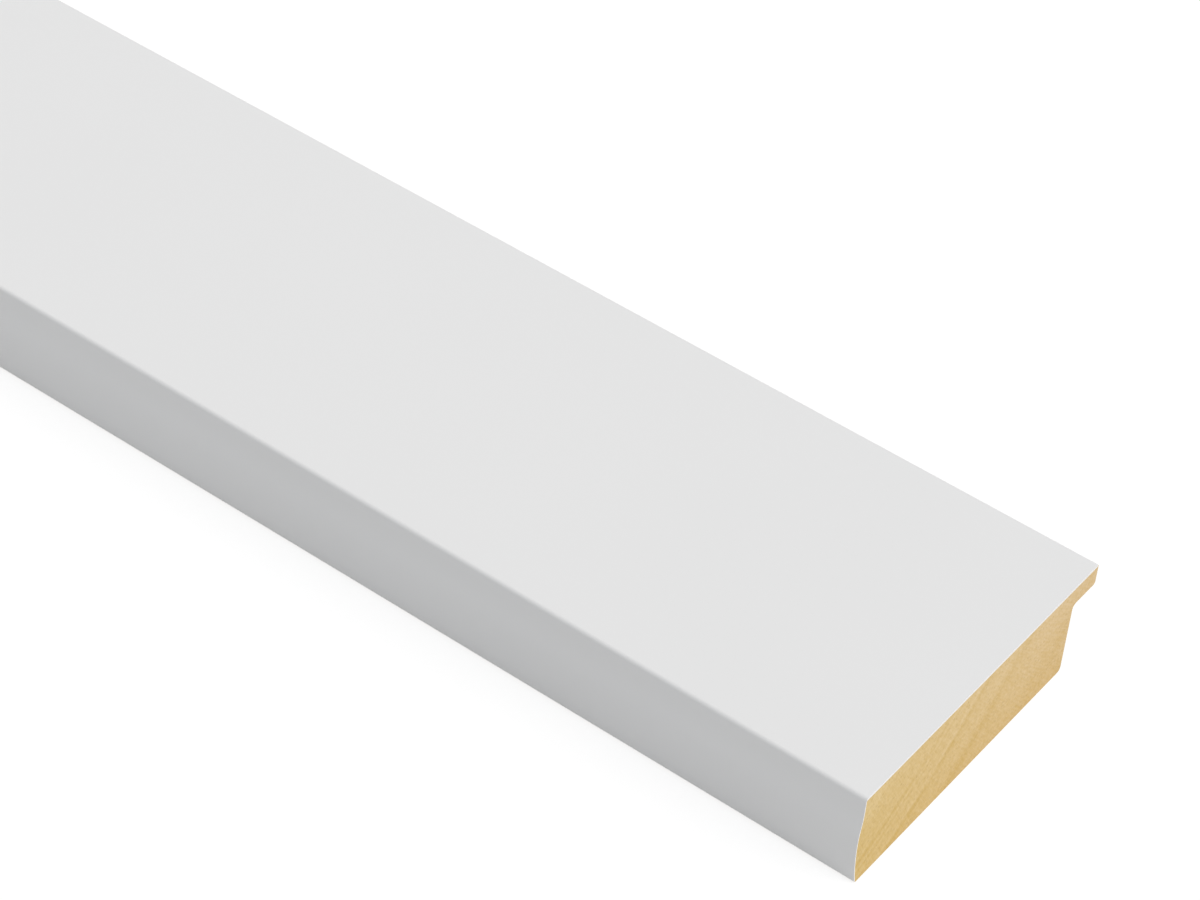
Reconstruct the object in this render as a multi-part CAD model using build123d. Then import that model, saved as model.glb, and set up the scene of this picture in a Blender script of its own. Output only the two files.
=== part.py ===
from build123d import *
import os

# A stick of picture frame moulding: one piece of wood, machined to a single section along its
# whole length and sawn square at both ends. It lies on its back with the face up.
# X runs along the stick, +Y points to the sight edge and Z rises from the back to the face.
# The origin is in the middle of the box that the stick fills, on the plane it lies on.
# All sizes are in millimetres.

# Stick
length = 1200.0
face_width = 60.0
height = 17.5

# Rebate under the sight edge, which takes the glass, the picture and the backing
rebate_width = 6.0
lip_thickness = 4.0

# Moulded outer side: an upright land under the face, an ogee out to a belly, a long tuck to the foot
land_height = 2.5
belly_height = 8.5
belly_projection = 0.6
foot_tuck = 0.9

# Eased edges
face_arris_radius = 0.6
sight_edge_radius = 0.3
lip_corner_radius = 0.45
rebate_corner_radius = 0.8
back_corner_radius = 0.8
foot_corner_radius = 0.6

# Levels and lines of the section. Across it, y = 0 is the upright land at the outer edge of the face.
land_foot = height - land_height
lip_underside = height - lip_thickness
rebate_wall = face_width - rebate_width
belly_line = -belly_projection
foot_line = belly_line + foot_tuck
section_width = face_width + belly_projection
section_centre = face_width - section_width / 2

DOWN = (0, -1)
UP = (0, 1)


def outer_side():
    """The moulded outer side, from the edge of the face down to the back, as tangent curves."""
    face_edge = (0, height)
    land_end = (0, land_foot)
    belly = (belly_line, belly_height)
    turn = (belly_line / 2, (land_foot + belly_height) / 2)
    foot = (foot_line, 0)
    return [
        Line(face_edge, land_end),
        TangentArc(land_end, turn, tangent=DOWN),
        TangentArc(belly, turn, tangent=UP),
        TangentArc(belly, foot, tangent=DOWN),
    ]


def back_and_rebate():
    """The flat back, the rebate, the lip and the face, from the foot round to the edge of the face."""
    return [
        Polyline(
            (foot_line, 0),
            (rebate_wall, 0),
            (rebate_wall, lip_underside),
            (face_width, lip_underside),
            (face_width, height),
            (0, height),
        )
    ]


def eased(section, corner, radius):
    """The section with the one corner at that place rounded."""
    vertex = section.vertices().sort_by_distance(corner)[0]
    return fillet(vertex, radius)


def moulded_section():
    """The closed section of the stick, seen from its +X end, with every long edge eased."""
    section = make_face(outer_side() + back_and_rebate())
    corners = [
        ((0, height), face_arris_radius),
        ((face_width, height), sight_edge_radius),
        ((face_width, lip_underside), lip_corner_radius),
        ((rebate_wall, lip_underside), rebate_corner_radius),
        ((rebate_wall, 0), back_corner_radius),
        ((foot_line, 0), foot_corner_radius),
    ]
    for corner, radius in corners:
        section = eased(section, corner, radius)
    return section


def moulding():
    """The whole stick: the section run along X, centred on the origin."""
    section = Plane.YZ * Pos(-section_centre, 0) * moulded_section()
    return extrude(section, amount=length / 2, dir=(1, 0, 0), both=True)


os.makedirs("parts", exist_ok=True)
export_step(moulding(), "parts/moulding.step")
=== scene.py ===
"""A stick of picture frame moulding: white satin paint over pale wood, lying on a white studio floor.

X runs along the stick, +Y points to the sight edge and Z rises from the back to the face, in metres.
"""

import logging
import math
from collections.abc import Callable, Iterator
from contextlib import contextmanager
from dataclasses import dataclass
from enum import Enum, IntEnum
from typing import Any

import bmesh
import bpy
from mathutils import Matrix, Vector


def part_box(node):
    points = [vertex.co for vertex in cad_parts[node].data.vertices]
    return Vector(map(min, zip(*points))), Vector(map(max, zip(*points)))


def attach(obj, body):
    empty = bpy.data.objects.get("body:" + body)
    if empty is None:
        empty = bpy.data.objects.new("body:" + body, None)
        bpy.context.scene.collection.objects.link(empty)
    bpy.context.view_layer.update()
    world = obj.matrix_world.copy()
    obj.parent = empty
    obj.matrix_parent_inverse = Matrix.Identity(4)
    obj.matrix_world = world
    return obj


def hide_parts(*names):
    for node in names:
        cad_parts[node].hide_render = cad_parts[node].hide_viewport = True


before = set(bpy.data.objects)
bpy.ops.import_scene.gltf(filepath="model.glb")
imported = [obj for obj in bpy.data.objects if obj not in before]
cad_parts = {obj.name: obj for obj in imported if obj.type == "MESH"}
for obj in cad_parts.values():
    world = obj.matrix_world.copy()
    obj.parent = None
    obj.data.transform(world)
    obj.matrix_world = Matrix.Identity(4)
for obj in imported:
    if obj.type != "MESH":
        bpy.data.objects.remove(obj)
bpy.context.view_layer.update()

Tree = bpy.types.NodeTree
Socket = bpy.types.NodeSocket

LOG = logging.getLogger("moulding")

MM = 0.001
NODE = "moulding"
BODY = "root"

# Sockets of a Mix node that mixes colours
MIX_FACTOR = 0
MIX_A = 6
MIX_B = 7
MIX_RESULT = 2

# A wave texture turns through this many radians in one unit of length
WAVE_TURN = 20.0

# Nearly all of a noise texture lies between these values, about this middle
NOISE_LOW = 0.3
NOISE_HIGH = 0.7
NOISE_MIDDLE = 0.5

# The share of a face's normal along an axis: straight along it, mostly, somewhat or hardly
STRAIGHT = 0.9
MOSTLY = 0.7
SOMEWHAT = 0.3
HARDLY = 0.1


def linear(hex_colour: str) -> tuple[float, float, float, float]:
    """Turns an sRGB hex colour into linear light.

    Args:
        hex_colour: The colour as "#RRGGBB".

    Returns:
        Linear red, green and blue, and an alpha of 1.
    """
    channels = [int(hex_colour[at:at + 2], 16) / 255.0 for at in (1, 3, 5)]
    lit = [c / 12.92 if c <= 0.04045 else ((c + 0.055) / 1.055) ** 2.4 for c in channels]
    return (lit[0], lit[1], lit[2], 1.0)


def add_node(tree: Tree, kind: str, inputs: dict[Any, Any], **settings: Any) -> bpy.types.Node:
    """Adds a node with its settings and links.

    Args:
        tree: The node tree that gets the node.
        kind: The node's type without its "ShaderNode", such as "Mapping".
        inputs: A value, or a socket to link, for each input by its name or number.
        **settings: Options of the node itself.

    Returns:
        The new node.
    """
    node = tree.nodes.new("ShaderNode" + kind)
    for name, value in settings.items():
        setattr(node, name, value)
    for name, value in inputs.items():
        if isinstance(value, Socket):
            tree.links.new(value, node.inputs[name])
        else:
            node.inputs[name].default_value = value
    return node


def blank_material(name: str) -> tuple[bpy.types.Material, Tree]:
    """Makes a material with an empty node tree.

    Args:
        name: The material's name.

    Returns:
        The material and its node tree.
    """
    material = bpy.data.materials.new(name)
    material.use_nodes = True
    material.node_tree.nodes.clear()
    return material, material.node_tree


@dataclass(frozen=True)
class SatinWhitePaint:
    """Sprayed satin white lacquer over primer on planed wood.

    To the eye it is an even, neutral white with a soft sheen. Close up it has a shallow orange peel, a
    trace of the wood's grain telegraphs through it along the stick, and one grain of dust is caught in it.
    """

    nib: Vector
    colour: str = "#EFEFEF"
    thin_colour: str = "#EDEDED"
    ior: float = 1.5
    roughness_low: float = 0.38
    roughness_high: float = 0.48
    cloud_width: float = 40 * MM
    cloud_detail: float = 2.0
    peel_width: float = 1.6 * MM
    peel_detail: float = 1.0
    peel_depth: float = 0.0010 * MM
    grain_width: float = 1.2 * MM
    grain_detail: float = 2.0
    grain_stretch: float = 90.0
    grain_depth: float = 0.0010 * MM
    nib_radius: float = 0.8 * MM
    nib_height: float = 0.03 * MM

    def relief(self, tree: Tree, place: Socket) -> Socket:
        """Adds the trace of grain, the orange peel and the grain of dust.

        Args:
            tree: The material's node tree.
            place: Object coordinates.

        Returns:
            The normal of the paint's surface.
        """
        along = add_node(tree, "Mapping", {"Vector": place, "Scale": (1 / self.grain_stretch, 1, 1)})
        grain = add_node(
            tree,
            "TexNoise",
            {"Vector": along.outputs[0], "Scale": 1 / self.grain_width, "Detail": self.grain_detail},
        )
        peel = add_node(
            tree, "TexNoise", {"Vector": place, "Scale": 1 / self.peel_width, "Detail": self.peel_detail}
        )
        reach = add_node(tree, "VectorMath", {0: place, 1: self.nib}, operation="DISTANCE")
        nib = add_node(
            tree,
            "MapRange",
            {"Value": reach.outputs["Value"], "From Min": self.nib_radius, "From Max": 0.0},
            interpolation_type="SMOOTHSTEP",
        )
        grain_bump = add_node(tree, "Bump", {"Height": grain.outputs[0], "Distance": self.grain_depth})
        peel_bump = add_node(
            tree,
            "Bump",
            {"Height": peel.outputs[0], "Distance": self.peel_depth, "Normal": grain_bump.outputs[0]},
        )
        nib_bump = add_node(
            tree,
            "Bump",
            {"Height": nib.outputs[0], "Distance": self.nib_height, "Normal": peel_bump.outputs[0]},
        )
        return nib_bump.outputs[0]

    def material(self) -> bpy.types.Material:
        """Makes the paint.

        Returns:
            The material, on Object coordinates.
        """
        material, tree = blank_material("satin_white_paint")
        place = add_node(tree, "TexCoord", {}).outputs["Object"]
        cloud = add_node(
            tree, "TexNoise", {"Vector": place, "Scale": 1 / self.cloud_width, "Detail": self.cloud_detail}
        )
        shade = add_node(
            tree,
            "Mix",
            {
                MIX_FACTOR: cloud.outputs[0],
                MIX_A: linear(self.thin_colour),
                MIX_B: linear(self.colour),
            },
            data_type="RGBA",
        )
        sheen = add_node(
            tree,
            "MapRange",
            {
                "Value": cloud.outputs[0],
                "From Min": NOISE_LOW,
                "From Max": NOISE_HIGH,
                "To Min": self.roughness_low,
                "To Max": self.roughness_high,
            },
        )
        shader = add_node(
            tree,
            "BsdfPrincipled",
            {
                "Base Color": shade.outputs[MIX_RESULT],
                "Roughness": sheen.outputs[0],
                "IOR": self.ior,
                "Normal": self.relief(tree, place),
            },
        )
        add_node(tree, "OutputMaterial", {"Surface": shader.outputs[0]})
        return material


class Cut(Enum):
    """How a bare wood surface was made, as the name of its material says."""

    SAWN = "obeche_sawn_end"
    PLANED = "obeche_planed"


@dataclass(frozen=True)
class BareObeche:
    """Bare obeche, a pale, light, open-pored hardwood, as it left the saw or the planer.

    To the eye it is a warm straw colour with faint, uneven growth rings and fainter rays across them.
    Pores show as fine specks where they are cut across and as short dark dashes where they run along the
    surface. It has no shine.
    """

    cut: Cut
    pith: Vector
    dark_colour: str = "#CCAB69"
    pale_colour: str = "#E1C8A1"
    pore_colour: str = "#B4945C"
    middle_tone: float = 0.5
    ior: float = 1.45
    roughness_low: float = 0.72
    roughness_high: float = 0.86

    # How far the grain runs out of line with the stick, upwards and across it
    grain_rise: float = math.radians(0.25)
    grain_swing: float = math.radians(0.6)
    grain_stretch: float = 45.0

    # Growth rings: how far from the pith each turn of the tone lies, and how pale the wood is there
    rings_mm: tuple[tuple[float, float], ...] = (
        (72, 0.5), (76, 0.3), (78, 0.6), (83, 0.4), (88, 0.75), (89.5, 0.45), (93.5, 0.35), (95.4, 0.6),
        (96.5, 0.05), (97.5, 0.8), (98.2, 0.2), (98.9, 0.7), (100.2, 0.45), (101.8, 0.85), (102.9, 0.0),
        (104, 0.45), (107.7, 0.7), (110.7, 0.2), (112.5, 0.55), (117, 0.65), (121, 0.5), (124, 0.3),
        (126, 0.6), (131, 0.35), (133, 0.6), (138, 0.3), (140, 0.6), (146, 0.4),
    )
    ring_strength: float = 0.76
    faint_ring_strength: float = 0.266
    ring_wobble: float = 0.5 * MM

    # A slow drift along the grain bends the rings and lets them fade between these values of it
    drift_width: float = 10 * MM
    drift_detail: float = 3.0
    drift_low: float = 0.35
    drift_high: float = 0.65

    # The colour turns paler from the back up to the face, and more yellow from the sight edge to the outer
    # side
    pale_levels: tuple[float, float] = (-3.0 * MM, 19.6 * MM)
    paling_strength: float = 0.46
    yellow_lines: tuple[float, float] = (30 * MM, -30 * MM)
    yellow_tint: str = "#FFFFEA"

    # Real fibres, rays and pores are finer, and are drawn as coarse as they need to show. A ray's height
    # is along the grain, and its length runs out from the pith
    fibre_width: float = 0.7 * MM
    fibre_detail: float = 4.0
    fibre_strength: float = 0.94
    ray_height: float = 2.0 * MM
    ray_width: float = 0.35 * MM
    ray_length: float = 2.5 * MM
    ray_detail: float = 1.0
    ray_strength: float = 0.6
    pore_spacing: float = 0.7 * MM
    pore_radius: float = 0.3 * MM
    pore_stretch: float = 14.0
    pore_strength: float = 0.6

    # The saw's centre lies to the side of the stick and below it, and its blade wavers more than a knife
    saw_centre: tuple[float, float] = (-60 * MM, -150 * MM)
    saw_mark_spacing: float = 1.1 * MM
    saw_waver: float = 2.0
    saw_detail: float = 2.0
    knife_mark_spacing: float = 1.6 * MM
    knife_waver: float = 0.4
    knife_detail: float = 1.0
    tool_mark_depth: float = 0.012 * MM
    fibre_depth: float = 0.02 * MM

    def trunk(self, tree: Tree, place: Socket) -> Socket:
        """Adds the node that measures places as they lie in the tree.

        Args:
            tree: The material's node tree.
            place: Object coordinates.

        Returns:
            Places measured from the pith, with X along the grain.
        """
        slope = Matrix.Rotation(self.grain_swing, 3, "Z") @ Matrix.Rotation(self.grain_rise, 3, "Y")
        return add_node(
            tree,
            "Mapping",
            {"Vector": place, "Location": -(slope @ self.pith), "Rotation": slope.to_euler()},
        ).outputs[0]

    def streaks(self, tree: Tree, trunk: Socket, width: float, detail: float) -> Socket:
        """Adds a grey pattern that is drawn out along the grain.

        Args:
            tree: The material's node tree.
            trunk: Places measured from the pith, with X along the grain.
            width: The width of a streak.
            detail: How many finer patterns the streaks are broken up by.

        Returns:
            The pattern.
        """
        along = add_node(tree, "Mapping", {"Vector": trunk, "Scale": (1 / self.grain_stretch, 1, 1)})
        return add_node(
            tree, "TexNoise", {"Vector": along.outputs[0], "Scale": 1 / width, "Detail": detail}
        ).outputs[0]

    def ring_tone(self, tree: Tree, trunk: Socket, radius: Socket) -> Socket:
        """Adds the growth rings, which waver a little and fade in and out.

        Args:
            tree: The material's node tree.
            trunk: Places measured from the pith, with X along the grain.
            radius: The distance from the pith.

        Returns:
            How much paler the rings make the wood, below or above zero.
        """
        drift = self.streaks(tree, trunk, self.drift_width, self.drift_detail)
        wavering = add_node(
            tree, "Math", {0: drift, 1: 2 * self.ring_wobble, 2: radius}, operation="MULTIPLY_ADD"
        )
        first = self.rings_mm[0][0]
        last = self.rings_mm[-1][0]
        share = add_node(
            tree,
            "MapRange",
            {"Value": wavering.outputs[0], "From Min": first * MM, "From Max": last * MM},
        )
        ramp = add_node(tree, "ValToRGB", {"Fac": share.outputs[0]})
        turns = ramp.color_ramp.elements
        turns[1].position = 1.0
        for radius_mm, _ in self.rings_mm[1:-1]:
            turns.new((radius_mm - first) / (last - first))
        for turn, (_, paleness) in zip(turns, self.rings_mm):
            turn.color = (paleness, paleness, paleness, 1.0)
        centred = add_node(tree, "Math", {0: ramp.outputs[0], 1: self.middle_tone}, operation="SUBTRACT")
        weight = add_node(
            tree,
            "MapRange",
            {
                "Value": drift,
                "From Min": self.drift_low,
                "From Max": self.drift_high,
                "To Min": self.faint_ring_strength,
                "To Max": self.ring_strength,
            },
        )
        return add_node(
            tree, "Math", {0: centred.outputs[0], 1: weight.outputs[0]}, operation="MULTIPLY"
        ).outputs[0]

    def ray_tone(self, tree: Tree, trunk: Socket, radius: Socket) -> Socket:
        """Adds the rays, thin ribbons of paler wood that run out from the pith.

        Args:
            tree: The material's node tree.
            trunk: Places measured from the pith, with X along the grain.
            radius: The distance from the pith.

        Returns:
            How much paler the rays make the wood, below or above zero.
        """
        axes = add_node(tree, "SeparateXYZ", {0: trunk}).outputs
        angle = add_node(tree, "Math", {0: axes["Z"], 1: axes["Y"]}, operation="ARCTAN2").outputs[0]
        fan = add_node(tree, "CombineXYZ", {"X": axes["X"], "Y": angle, "Z": radius}).outputs[0]
        rays_per_radian = self.rings_mm[-1][0] * MM / self.ray_width
        scale = (1 / self.ray_height, rays_per_radian, 1 / self.ray_length)
        ribbons = add_node(tree, "Mapping", {"Vector": fan, "Scale": scale}).outputs[0]
        ray = add_node(tree, "TexNoise", {"Vector": ribbons, "Scale": 1.0, "Detail": self.ray_detail})
        centred = add_node(tree, "Math", {0: ray.outputs[0], 1: NOISE_MIDDLE}, operation="SUBTRACT")
        return add_node(
            tree, "Math", {0: centred.outputs[0], 1: self.ray_strength}, operation="MULTIPLY"
        ).outputs[0]

    def pores(self, tree: Tree, trunk: Socket) -> Socket:
        """Adds the pores, long tubes along the grain, some of them deeper and darker than others.

        Args:
            tree: The material's node tree.
            trunk: Places measured from the pith, with X along the grain.

        Returns:
            How much of the pores' colour shows.
        """
        tubes = add_node(tree, "Mapping", {"Vector": trunk, "Scale": (1 / self.pore_stretch, 1, 1)})
        cells = add_node(tree, "TexVoronoi", {"Vector": tubes.outputs[0], "Scale": 1 / self.pore_spacing})
        depth = add_node(
            tree,
            "MapRange",
            {
                "Value": cells.outputs["Distance"],
                "From Min": self.pore_radius / self.pore_spacing,
                "From Max": 0.0,
                "To Max": self.pore_strength,
            },
            interpolation_type="SMOOTHSTEP",
        )
        return add_node(
            tree, "Math", {0: depth.outputs[0], 1: cells.outputs["Color"]}, operation="MULTIPLY"
        ).outputs[0]

    def tone(self, tree: Tree, place: Socket, trunk: Socket, fibre: Socket) -> Socket:
        """Adds up what makes the wood paler or darker: its level in the stick, rings, rays and fibres.

        Args:
            tree: The material's node tree.
            place: Object coordinates.
            trunk: Places measured from the pith, with X along the grain.
            fibre: The grey pattern of the fibres.

        Returns:
            The tone, from 0 for dark wood to 1 for pale wood.
        """
        level = add_node(tree, "SeparateXYZ", {0: place}).outputs["Z"]
        middle = self.middle_tone - self.fibre_strength * NOISE_MIDDLE
        ground = add_node(
            tree,
            "MapRange",
            {
                "Value": level,
                "From Min": self.pale_levels[0],
                "From Max": self.pale_levels[1],
                "To Min": middle - self.paling_strength / 2,
                "To Max": middle + self.paling_strength / 2,
            },
        )
        across = add_node(tree, "VectorMath", {0: trunk, 1: (0, 1, 1)}, operation="MULTIPLY").outputs[0]
        radius = add_node(tree, "VectorMath", {0: across}, operation="LENGTH").outputs["Value"]
        rings = self.ring_tone(tree, trunk, radius)
        rays = self.ray_tone(tree, trunk, radius)
        ringed = add_node(tree, "Math", {0: rings, 1: ground.outputs[0]}, operation="ADD")
        rayed = add_node(tree, "Math", {0: rays, 1: ringed.outputs[0]}, operation="ADD")
        return add_node(
            tree,
            "Math",
            {0: fibre, 1: self.fibre_strength, 2: rayed.outputs[0]},
            operation="MULTIPLY_ADD",
        ).outputs[0]

    def colour(self, tree: Tree, place: Socket, trunk: Socket, fibre: Socket) -> Socket:
        """Adds the nodes that colour the wood all through the stick.

        Args:
            tree: The material's node tree.
            place: Object coordinates.
            trunk: Places measured from the pith, with X along the grain.
            fibre: The grey pattern of the fibres.

        Returns:
            The colour.
        """
        plain = add_node(
            tree,
            "Mix",
            {
                MIX_FACTOR: self.tone(tree, place, trunk, fibre),
                MIX_A: linear(self.dark_colour),
                MIX_B: linear(self.pale_colour),
            },
            data_type="RGBA",
        )
        across = add_node(tree, "SeparateXYZ", {0: place}).outputs["Y"]
        yellowing = add_node(
            tree,
            "MapRange",
            {"Value": across, "From Min": self.yellow_lines[0], "From Max": self.yellow_lines[1]},
        )
        yellowed = add_node(
            tree,
            "Mix",
            {
                MIX_FACTOR: yellowing.outputs[0],
                MIX_A: plain.outputs[MIX_RESULT],
                MIX_B: linear(self.yellow_tint),
            },
            data_type="RGBA",
            blend_type="MULTIPLY",
        )
        pored = add_node(
            tree,
            "Mix",
            {
                MIX_FACTOR: self.pores(tree, trunk),
                MIX_A: yellowed.outputs[MIX_RESULT],
                MIX_B: linear(self.pore_colour),
            },
            data_type="RGBA",
        )
        return pored.outputs[MIX_RESULT]

    def tool_marks(self, tree: Tree, place: Socket) -> Socket:
        """Adds the marks of the saw blade, as wide arcs, or of the planer's knives, as cross ripples.

        Args:
            tree: The material's node tree.
            place: Object coordinates.

        Returns:
            The height of the marks.
        """
        if self.cut is Cut.SAWN:
            across, level = self.saw_centre
            blade = add_node(tree, "Mapping", {"Vector": place, "Location": (0, -across, -level)})
            marks = add_node(
                tree,
                "TexWave",
                {
                    "Vector": blade.outputs[0],
                    "Scale": math.tau / WAVE_TURN / self.saw_mark_spacing,
                    "Distortion": self.saw_waver,
                    "Detail": self.saw_detail,
                },
                wave_type="RINGS",
                rings_direction="X",
            )
        else:
            marks = add_node(
                tree,
                "TexWave",
                {
                    "Vector": place,
                    "Scale": math.tau / WAVE_TURN / self.knife_mark_spacing,
                    "Distortion": self.knife_waver,
                    "Detail": self.knife_detail,
                },
                wave_type="BANDS",
                bands_direction="X",
            )
        return marks.outputs["Fac"]

    def material(self) -> bpy.types.Material:
        """Makes the wood.

        Returns:
            The material, on Object coordinates, so its rings run on from face to face.
        """
        material, tree = blank_material(self.cut.value)
        place = add_node(tree, "TexCoord", {}).outputs["Object"]
        trunk = self.trunk(tree, place)
        fibre = self.streaks(tree, trunk, self.fibre_width, self.fibre_detail)
        dullness = add_node(
            tree,
            "MapRange",
            {
                "Value": fibre,
                "From Min": NOISE_LOW,
                "From Max": NOISE_HIGH,
                "To Min": self.roughness_low,
                "To Max": self.roughness_high,
            },
        )
        marks = self.tool_marks(tree, place)
        mark_bump = add_node(tree, "Bump", {"Height": marks, "Distance": self.tool_mark_depth})
        fibre_bump = add_node(
            tree,
            "Bump",
            {"Height": fibre, "Distance": self.fibre_depth, "Normal": mark_bump.outputs[0]},
        )
        shader = add_node(
            tree,
            "BsdfPrincipled",
            {
                "Base Color": self.colour(tree, place, trunk, fibre),
                "Roughness": dullness.outputs[0],
                "IOR": self.ior,
                "Normal": fibre_bump.outputs[0],
            },
        )
        add_node(tree, "OutputMaterial", {"Surface": shader.outputs[0]})
        return material


@contextmanager
def edit_mode() -> Iterator[None]:
    """Holds the active piece in edit mode for as long as the block runs."""
    bpy.ops.object.mode_set(mode="EDIT")
    try:
        yield
    finally:
        bpy.ops.object.mode_set(mode="OBJECT")


class Pick(Enum):
    """What a selection is made of, with the mode of Blender's that selects it."""

    VERTICES = "VERT"
    EDGES = "EDGE"
    FACES = "FACE"


def pick(kind: Pick, test: Callable[[Any], bool]) -> None:
    """Selects what passes the test on the active piece, in edit mode, and nothing else.

    Args:
        kind: Whether vertices, edges or faces are selected.
        test: Says of one vertex, edge or face whether it is selected.
    """
    bpy.ops.mesh.select_mode(type=kind.value)
    bpy.ops.mesh.select_all(action="DESELECT")
    mesh = bpy.context.active_object.data
    shape = bmesh.from_edit_mesh(mesh)
    shape.normal_update()
    elements = {Pick.VERTICES: shape.verts, Pick.EDGES: shape.edges, Pick.FACES: shape.faces}[kind]
    for element in elements:
        if test(element):
            element.select_set(True)
    shape.select_flush_mode()
    bmesh.update_edit_mesh(mesh)


class Coat(IntEnum):
    """The material slots of the stick."""

    PAINT = 0
    SAWN = 1
    PLANED = 2


@dataclass
class BakeSheet:
    """How the stick's surface is laid out on a square sheet.

    The stick is cut in two at its middle, and the halves lie one above the other. Each half has four
    strips, one for each way that its long faces look, and both sawn ends lie below at a larger scale.
    """

    low: Vector
    high: Vector
    paint_scale: float = 1.5
    wood_scale: float = 2.6
    end_scale: float = 10.0
    gap: float = 3 * MM
    edge: float = 0.004

    def strips(self) -> dict[str, tuple[float, float]]:
        """Works out where each strip starts on the sheet and how high it is.

        Returns:
            The start and height of each strip by name, as shares of the sheet.
        """
        width = self.high.y - self.low.y
        height = self.high.z - self.low.z
        heights = {}
        for half in ("near", "far"):
            heights[half + " face"] = width * self.paint_scale
            heights[half + " side"] = height * self.paint_scale
            heights[half + " back"] = width * self.wood_scale
            heights[half + " rebate"] = height * self.wood_scale
        for half in ("near", "far"):
            heights[half + " end"] = height * self.end_scale
        total = sum(heights.values()) + self.gap * (len(heights) + 1)
        strips = {}
        start = self.gap / total
        for name, strip_height in heights.items():
            strips[name] = (start, strip_height / total)
            start += (strip_height + self.gap) / total
        return strips

    def spot(self, point: Vector, normal: Vector, middle: Vector) -> tuple[str, float, float]:
        """Finds the strip of a face's corner, and its place in that strip.

        Args:
            point: The corner.
            normal: The face's normal.
            middle: The face's middle, which says which half of the stick it is on.

        Returns:
            The strip's name, and the shares along it and up it.
        """
        across = (point.y - self.low.y) / (self.high.y - self.low.y)
        up = (point.z - self.low.z) / (self.high.z - self.low.z)
        if abs(normal.x) > STRAIGHT:
            return ("near end", across, up) if normal.x > 0 else ("far end", 1 - across, up)
        half = "near" if middle.x > 0 else "far"
        along = point.x / self.high.x if middle.x > 0 else 1 - point.x / self.low.x
        if abs(normal.z) >= abs(normal.y):
            return (half + " face", along, across) if normal.z > 0 else (half + " back", along, 1 - across)
        return (half + " side", along, up) if normal.y < 0 else (half + " rebate", along, 1 - up)

    def lay(self, mesh: bpy.types.Mesh) -> None:
        """Lays the mesh out on the sheet, as a map that no material reads.

        Args:
            mesh: The finished mesh of the stick.
        """
        sheet = mesh.uv_layers.new(name="OFBake")
        strips = self.strips()
        for face in mesh.polygons:
            for corner in face.loop_indices:
                point = mesh.vertices[mesh.loops[corner].vertex_index].co
                name, along, up = self.spot(point, face.normal, face.center)
                start, height = strips[name]
                sheet.uv[corner].vector = (self.edge + along * (1 - 2 * self.edge), start + up * height)


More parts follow.
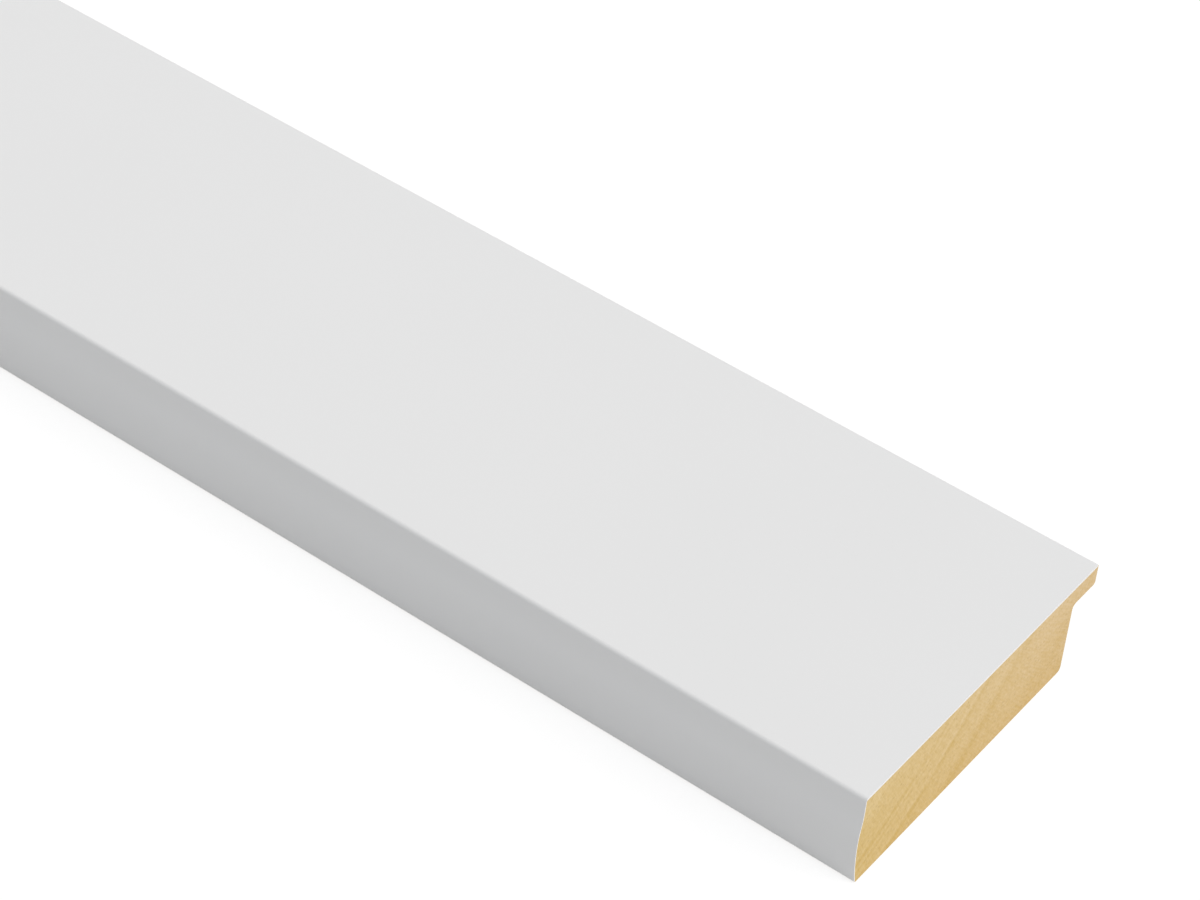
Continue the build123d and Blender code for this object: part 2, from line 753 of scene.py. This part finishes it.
@dataclass
class MouldingStick:
    """The stick: one length of wood, moulded to one section, painted on its face and both edges."""

    length: float
    height: float
    sight_edge: float
    face_width: float = 60.0 * MM
    rebate_width: float = 6.0 * MM
    lip_thickness: float = 4.0 * MM
    land_height: float = 2.5 * MM
    belly_height: float = 8.5 * MM
    belly_projection: float = 0.6 * MM
    foot_tuck: float = 0.9 * MM
    face_arris_radius: float = 0.6 * MM
    sight_edge_radius: float = 0.3 * MM
    lip_corner_radius: float = 0.45 * MM
    rebate_corner_radius: float = 0.8 * MM
    back_corner_radius: float = 0.8 * MM
    foot_corner_radius: float = 0.6 * MM
    side_coat: float = 0.16 * MM
    face_coat: float = 0.42 * MM

    # The pith of the tree, out from the land and up from the back
    pith_offset: float = 39.5 * MM
    pith_level: float = 91 * MM

    # The grain of dust in the paint of the side, in from the sawn end and up from the back
    nib_inset: float = 15.4 * MM
    nib_level: float = 7.3 * MM

    # How finely the shape is drawn, and how near is the same
    cross_cut_spacing: float = 50 * MM
    ogee_steps: int = 15
    tuck_steps: int = 10
    edge_steps: int = 8
    smooth_angle: float = math.radians(35)
    flat_angle: float = math.radians(0.01)
    flat_weight: int = 100
    tolerance: float = 0.001 * MM

    @classmethod
    def from_frame(cls, low: Vector, high: Vector) -> "MouldingStick":
        """Takes the stick's reach from the frame.

        Args:
            low: The lowest corner of the node's box.
            high: The highest corner of the node's box.

        Returns:
            The stick.
        """
        return cls(length=high.x - low.x, height=high.z - low.z, sight_edge=high.y)

    @property
    def land(self) -> float:
        """The line across the section of the upright land, at the outer edge of the face."""
        return self.sight_edge - self.face_width

    @property
    def rebate_wall(self) -> float:
        """The line across the section of the rebate's upright wall."""
        return self.sight_edge - self.rebate_width

    @property
    def lip_underside(self) -> float:
        """The level of the underside of the lip."""
        return self.height - self.lip_thickness

    @property
    def land_foot(self) -> float:
        """The level where the upright land ends and the ogee starts."""
        return self.height - self.land_height

    def side_offset(self, level: float) -> float:
        """Works out how far the moulded side stands out from the land.

        Args:
            level: A height above the back.

        Returns:
            The distance outwards, which is negative where the foot tucks in.
        """
        drop = self.land_foot - self.belly_height
        ogee_radius = (drop ** 2 + self.belly_projection ** 2) / (4 * self.belly_projection)
        tuck_radius = (self.belly_height ** 2 + self.foot_tuck ** 2) / (2 * self.foot_tuck)
        if level >= self.land_foot:
            return 0.0
        if level >= self.belly_height + drop / 2:
            return ogee_radius - math.sqrt(ogee_radius ** 2 - (self.land_foot - level) ** 2)
        if level >= self.belly_height:
            fall = ogee_radius - math.sqrt(ogee_radius ** 2 - (level - self.belly_height) ** 2)
            return self.belly_projection - fall
        fall = tuck_radius - math.sqrt(tuck_radius ** 2 - (self.belly_height - level) ** 2)
        return self.belly_projection - fall

    def side_levels(self) -> list[float]:
        """Lists the levels at which the moulded side is drawn.

        Returns:
            Heights above the back, from the back up to the foot of the land.
        """
        tuck = [self.belly_height * step / self.tuck_steps for step in range(self.tuck_steps)]
        drop = self.land_foot - self.belly_height
        ogee = [self.belly_height + drop * step / self.ogee_steps for step in range(self.ogee_steps + 1)]
        return tuck + ogee

    def near(self, value: float, wanted: float) -> bool:
        """Says whether two lengths are the same, to a micrometre."""
        return abs(value - wanted) < self.tolerance

    def saw_blank(self) -> bpy.types.Object:
        """Saws the blank: a square block as wide as the back and as high as the stick.

        Returns:
            The piece, active and alone selected.
        """
        bpy.ops.object.select_all(action="DESELECT")
        width = self.rebate_wall - self.land
        bpy.ops.mesh.primitive_cube_add(
            size=1.0,
            location=(0, self.land + width / 2, self.height / 2),
            scale=(self.length, width, self.height),
        )
        bpy.ops.object.transform_apply(location=True, rotation=True, scale=True)
        piece = bpy.context.active_object
        piece.name = "moulding_stick"
        piece.data.name = "moulding_stick"
        return piece

    def bisect(self, place: tuple[float, float, float], normal: tuple[float, float, float]) -> None:
        """Cuts the selected faces along a plane through that place."""
        bpy.ops.mesh.bisect(plane_co=place, plane_no=normal, threshold=self.tolerance)

    def draw_lip(self) -> None:
        """Draws the lip out over the rebate, and joins its face and ends to the blank's."""
        pick(Pick.FACES, lambda face: face.normal.y > STRAIGHT)
        self.bisect((0, 0, self.lip_underside), (0, 0, 1))
        pick(
            Pick.FACES,
            lambda face: face.normal.y > STRAIGHT and face.calc_center_median().z > self.lip_underside,
        )
        bpy.ops.mesh.extrude_region_move(TRANSFORM_OT_translate={"value": (0, self.rebate_width, 0)})

        def seam(edge: bmesh.types.BMEdge) -> bool:
            """Says whether an edge lies between two faces of one plane, above the rebate's wall."""
            flat = edge.calc_face_angle(math.pi) < self.flat_angle
            return flat and all(self.near(end.co.y, self.rebate_wall) for end in edge.verts)

        pick(Pick.EDGES, seam)
        bpy.ops.mesh.dissolve_edges(use_verts=True)

    def mould_side(self) -> None:
        """Moulds the outer side: an upright land, an ogee out to a belly and a long tuck to the foot."""
        levels = self.side_levels()
        for level in levels[1:]:
            pick(Pick.FACES, lambda face: face.normal.y < -STRAIGHT)
            self.bisect((0, 0, level), (0, 0, 1))
        for level in levels:
            pick(
                Pick.VERTICES,
                lambda vertex: self.near(vertex.co.y, self.land) and self.near(vertex.co.z, level),
            )
            bpy.ops.transform.translate(value=(0, -self.side_offset(level), 0))

    def ease_edges(self) -> None:
        """Eases every long edge to its own radius."""
        foot_line = self.land - self.side_offset(0.0)
        tuck_angle = 2 * math.atan(self.foot_tuck / self.belly_height)
        foot_share = 1 / math.tan((math.pi / 2 + tuck_angle) / 2)
        corners = [
            (self.land, self.height, self.face_arris_radius),
            (self.sight_edge, self.height, self.sight_edge_radius),
            (self.sight_edge, self.lip_underside, self.lip_corner_radius),
            (self.rebate_wall, self.lip_underside, self.rebate_corner_radius),
            (self.rebate_wall, 0.0, self.back_corner_radius),
            (foot_line, 0.0, self.foot_corner_radius * foot_share),
        ]
        for across, level, setback in corners:
            pick(
                Pick.EDGES,
                lambda edge: all(
                    self.near(end.co.y, across) and self.near(end.co.z, level) for end in edge.verts
                ),
            )
            bpy.ops.mesh.bevel(
                offset=setback, offset_type="OFFSET", segments=self.edge_steps, affect="EDGES"
            )

    def part_coat(self) -> None:
        """Parts the film of paint from the wood on both sawn ends, by a line inside the outline.

        The film is thicker on the face, which got more coats, than on the side.
        """
        pick(Pick.FACES, lambda face: abs(face.normal.x) > STRAIGHT)
        bpy.ops.mesh.inset(thickness=self.side_coat, use_even_offset=True)
        under_face = self.height - self.face_coat
        pick(
            Pick.VERTICES,
            lambda vertex: vertex.co.z > under_face
            and all(abs(face.normal.x) > STRAIGHT for face in vertex.link_faces),
        )
        bpy.ops.transform.resize(value=(1, 1, 0), center_override=(0, 0, under_face))

    def cross_cut(self) -> None:
        """Cuts the long faces into even lengths, one cut of them at the middle."""
        count = 2 * round(self.length / 2 / self.cross_cut_spacing)
        for step in range(1, count):
            pick(Pick.FACES, lambda face: True)
            self.bisect((self.length * (step / count - 0.5), 0, 0), (1, 0, 0))

    def coated(self, face: bmesh.types.BMFace) -> bool:
        """Says whether the spray reached a face.

        The face, the moulded side down to its foot and the sight edge are painted. On a sawn end the
        film shows as the narrow faces beside the face and the side. On the sight edge it is too thin to
        show there.

        Args:
            face: A face of the finished shape.

        Returns:
            True if the face is painted.
        """
        if abs(face.normal.x) > STRAIGHT:
            neighbours = [other.normal for edge in face.edges for other in edge.link_faces]
            return len(face.verts) == 4 and any(
                abs(normal.x) < HARDLY and (normal.z > MOSTLY or normal.y < -MOSTLY)
                for normal in neighbours
            )
        lip_middle = (self.rebate_wall + self.sight_edge) / 2
        on_sight_edge = face.calc_center_median().y > lip_middle and face.normal.y > MOSTLY
        return face.normal.z > SOMEWHAT or face.normal.y < -MOSTLY or on_sight_edge

    def dress(self, piece: bpy.types.Object) -> None:
        """Gives the piece its paint and its bare wood, face by face.

        Args:
            piece: The finished shape, active, in edit mode.
        """
        sawn_end = self.length / 2
        side = self.land - self.side_offset(self.nib_level)
        nib = Vector((sawn_end - self.nib_inset, side, self.nib_level))
        pith = Vector((sawn_end, self.land - self.pith_offset, self.pith_level))
        for material in (
            SatinWhitePaint(nib).material(),
            BareObeche(Cut.SAWN, pith).material(),
            BareObeche(Cut.PLANED, pith).material(),
        ):
            piece.data.materials.append(material)
        places = {
            Coat.PLANED: lambda face: abs(face.normal.x) < HARDLY,
            Coat.SAWN: lambda face: abs(face.normal.x) > STRAIGHT,
            Coat.PAINT: self.coated,
        }
        for coat, test in places.items():
            pick(Pick.FACES, test)
            piece.active_material_index = coat
            bpy.ops.object.material_slot_assign()

    def smooth(self, piece: bpy.types.Object) -> None:
        """Shades the eased edges and the ogee as curves and keeps the flats flat.

        Args:
            piece: The finished shape, active, in object mode.
        """
        bpy.ops.object.shade_smooth_by_angle(angle=self.smooth_angle)
        flats = piece.modifiers.new("flats", "WEIGHTED_NORMAL")
        flats.keep_sharp = True
        flats.weight = self.flat_weight
        bpy.ops.object.modifier_apply(modifier=flats.name)

    def build(self) -> bpy.types.Object:
        """Builds the stick and puts it in place of its node.

        Returns:
            The finished piece.
        """
        piece = self.saw_blank()
        with edit_mode():
            self.draw_lip()
            self.mould_side()
            self.ease_edges()
            self.part_coat()
            self.cross_cut()
            self.dress(piece)
        low = Vector((-self.length / 2, self.land - self.belly_projection, 0))
        high = Vector((self.length / 2, self.sight_edge, self.height))
        BakeSheet(low, high).lay(piece.data)
        self.smooth(piece)
        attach(piece, BODY)
        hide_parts(NODE)
        return piece


@dataclass(frozen=True)
class PhotoCamera:
    """The camera, at the photograph's viewing angle, aimed at a point of the face near the sawn end."""

    sawn_end: float
    face_level: float
    aim_inset: float = 69.49 * MM
    aim_across: float = 1.835 * MM
    distance: float = 555.0 * MM
    azimuth: float = math.radians(34.025)
    elevation: float = math.radians(42.735)
    roll: float = math.radians(4.829)
    lens_mm: float = 112.47

    def place(self) -> bpy.types.Object:
        """Makes the camera the scene's own.

        Returns:
            The camera.
        """
        aim = Vector((self.sawn_end - self.aim_inset, self.aim_across, self.face_level))
        turn = (
            Matrix.Rotation(self.azimuth, 4, "Z")
            @ Matrix.Rotation(math.pi / 2 - self.elevation, 4, "X")
            @ Matrix.Rotation(self.roll, 4, "Z")
        )
        data = bpy.data.cameras.new("photo_camera")
        data.lens = self.lens_mm
        camera = bpy.data.objects.new("photo_camera", data)
        bpy.context.collection.objects.link(camera)
        camera.matrix_world = Matrix.Translation(aim) @ turn @ Matrix.Translation((0, 0, self.distance))
        bpy.context.scene.camera = camera
        return camera


@dataclass(frozen=True)
class Studio:
    """A white sweep of floor under an even sky, with one broad soft lamp beyond the sawn end."""

    floor_size: float = 80.0
    floor_drop: float = 0.1 * MM
    floor_colour: str = "#D0D0D0"
    floor_white: float = 1.36
    floor_white_share: float = 0.6
    sky_colour: str = "#FBFDFF"
    sky_strength: float = 0.56
    backdrop_colour: str = "#FFFFFF"
    lamp_colour: str = "#FFFCF9"
    lamp_strength: float = 1.77
    lamp_angle: float = math.radians(50)
    lamp_azimuth: float = math.radians(15)
    lamp_elevation: float = math.radians(39)

    @staticmethod
    def seen(tree: Tree) -> Socket:
        """Adds the nodes that tell rays that show the background from those that carry light.

        Args:
            tree: The node tree of the floor or the world.

        Returns:
            A socket that is 1 for camera, glossy and transmission rays.
        """
        path = add_node(tree, "LightPath", {})
        mirrored = add_node(
            tree,
            "Math",
            {0: path.outputs["Is Camera Ray"], 1: path.outputs["Is Glossy Ray"]},
            operation="MAXIMUM",
        )
        through = add_node(
            tree,
            "Math",
            {0: mirrored.outputs[0], 1: path.outputs["Is Transmission Ray"]},
            operation="MAXIMUM",
        )
        return through.outputs[0]

    def floor(self) -> bpy.types.Object:
        """Lays the floor, which shows white and still takes the stick's shadow.

        Returns:
            The floor.
        """
        bpy.ops.object.select_all(action="DESELECT")
        bpy.ops.mesh.primitive_plane_add(size=self.floor_size, location=(0, 0, -self.floor_drop))
        bpy.ops.object.transform_apply(location=True, rotation=True, scale=True)
        floor = bpy.context.active_object
        floor.name = "studio_floor"
        material, tree = blank_material("white_paper_sweep")
        share = add_node(
            tree, "Math", {0: self.seen(tree), 1: self.floor_white_share}, operation="MULTIPLY"
        )
        paper = add_node(tree, "BsdfDiffuse", {"Color": linear(self.floor_colour)})
        white = add_node(tree, "Emission", {"Strength": self.floor_white})
        both = add_node(tree, "MixShader", {0: share.outputs[0], 1: paper.outputs[0], 2: white.outputs[0]})
        add_node(tree, "OutputMaterial", {"Surface": both.outputs[0]})
        floor.data.materials.append(material)
        return floor

    def sky(self) -> None:
        """Makes the world an even, faintly cool light that shows white behind the stick."""
        world = bpy.data.worlds.new("studio_sky")
        world.use_nodes = True
        tree = world.node_tree
        tree.nodes.clear()
        light = add_node(
            tree, "Background", {"Color": linear(self.sky_colour), "Strength": self.sky_strength}
        )
        white = add_node(tree, "Background", {"Color": linear(self.backdrop_colour), "Strength": 1.0})
        both = add_node(tree, "MixShader", {0: self.seen(tree), 1: light.outputs[0], 2: white.outputs[0]})
        add_node(tree, "OutputWorld", {"Surface": both.outputs[0]})
        bpy.context.scene.world = world

    def lamp(self) -> bpy.types.Object:
        """Hangs the lamp, as broad as a softbox close by and as even as one far away.

        Returns:
            The lamp.
        """
        data = bpy.data.lights.new("soft_lamp", "SUN")
        data.color = linear(self.lamp_colour)[:3]
        data.energy = self.lamp_strength
        data.angle = self.lamp_angle
        lamp = bpy.data.objects.new("soft_lamp", data)
        bpy.context.collection.objects.link(lamp)
        towards = Vector((
            math.cos(self.lamp_azimuth) * math.cos(self.lamp_elevation),
            math.sin(self.lamp_azimuth) * math.cos(self.lamp_elevation),
            math.sin(self.lamp_elevation),
        ))
        lamp.rotation_euler = towards.to_track_quat("Z", "Y").to_euler()
        return lamp


def main() -> None:
    """Builds the stick, the studio and the camera."""
    logging.basicConfig(level=logging.INFO, format="%(name)s: %(message)s")
    bpy.context.scene.view_settings.view_transform = "Standard"
    low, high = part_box(NODE)
    stick = MouldingStick.from_frame(low, high)
    piece = stick.build()
    LOG.info("%s: %d faces", piece.name, len(piece.data.polygons))

    studio = Studio()
    studio.sky()
    for made in (studio.floor(), studio.lamp()):
        LOG.info("%s is in place", made.name)
    camera = PhotoCamera(sawn_end=stick.length / 2, face_level=stick.height).place()
    LOG.info("%s stands at %s", camera.name, [round(part, 4) for part in camera.matrix_world.translation])


if __name__ == "__main__":
    main()
